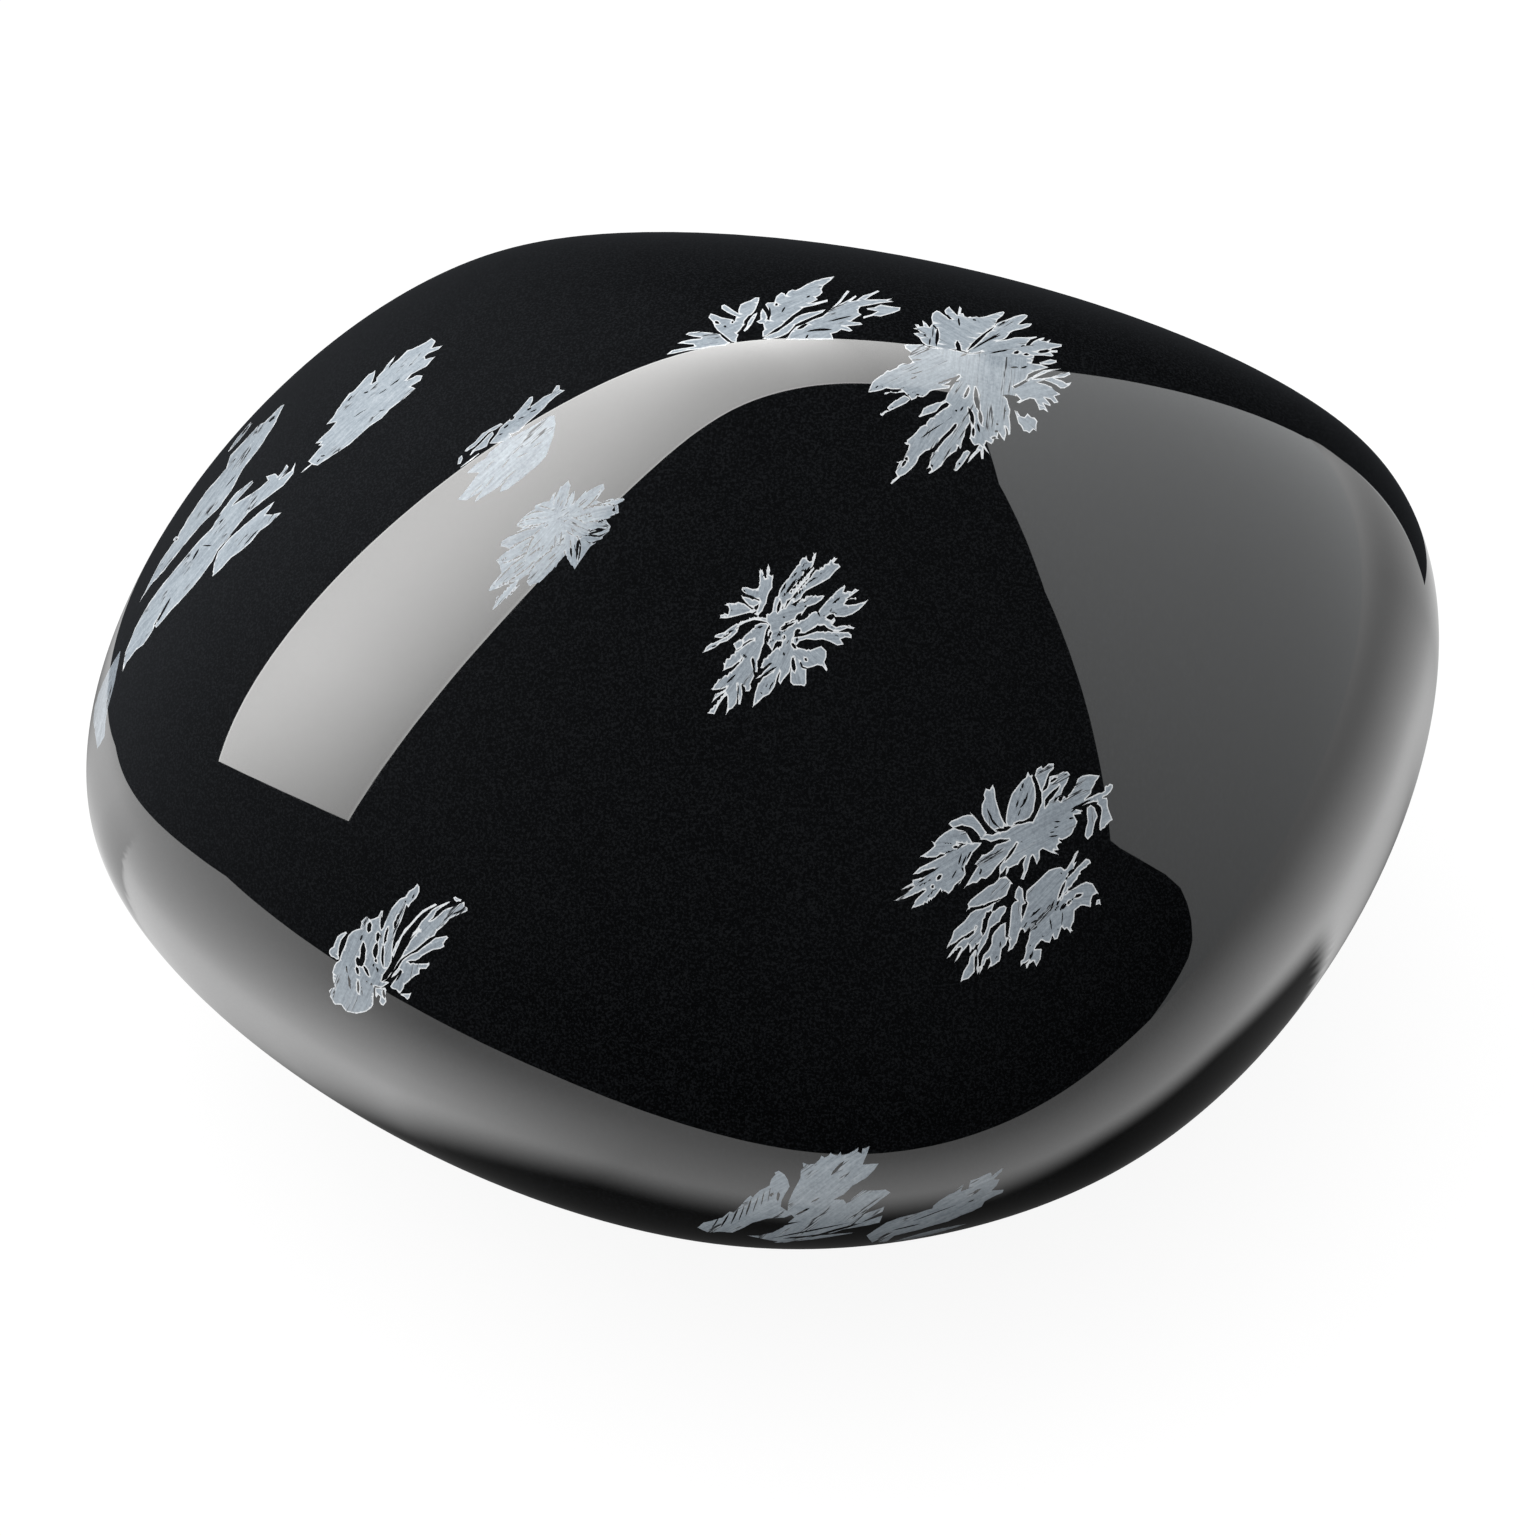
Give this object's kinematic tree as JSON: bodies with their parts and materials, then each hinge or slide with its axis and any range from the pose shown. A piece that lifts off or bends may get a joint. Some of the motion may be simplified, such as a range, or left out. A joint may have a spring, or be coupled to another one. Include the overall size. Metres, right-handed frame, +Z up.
{
  "type": "snowflake obsidian",
  "caption": "Tumbled and polished pebble of black volcanic glass with grey-white feathery snowflake inclusions, for display or holding.",
  "frame": {"origin": "on the resting surface, under the middle of the stone's bounding box", "axes": "+X along the length, towards the blunt nose; +Y away from the picture's viewpoint; +Z up, through the thickness"},
  "size_m": [0.0488, 0.0406, 0.0307],
  "materials": {
    "snowflake_obsidian": "polished black volcanic glass with matt blue-grey snowflakes, glossy all over"
  },
  "bodies": {
    "root": {"stone": "snowflake_obsidian"}
  },
  "joints": []
}
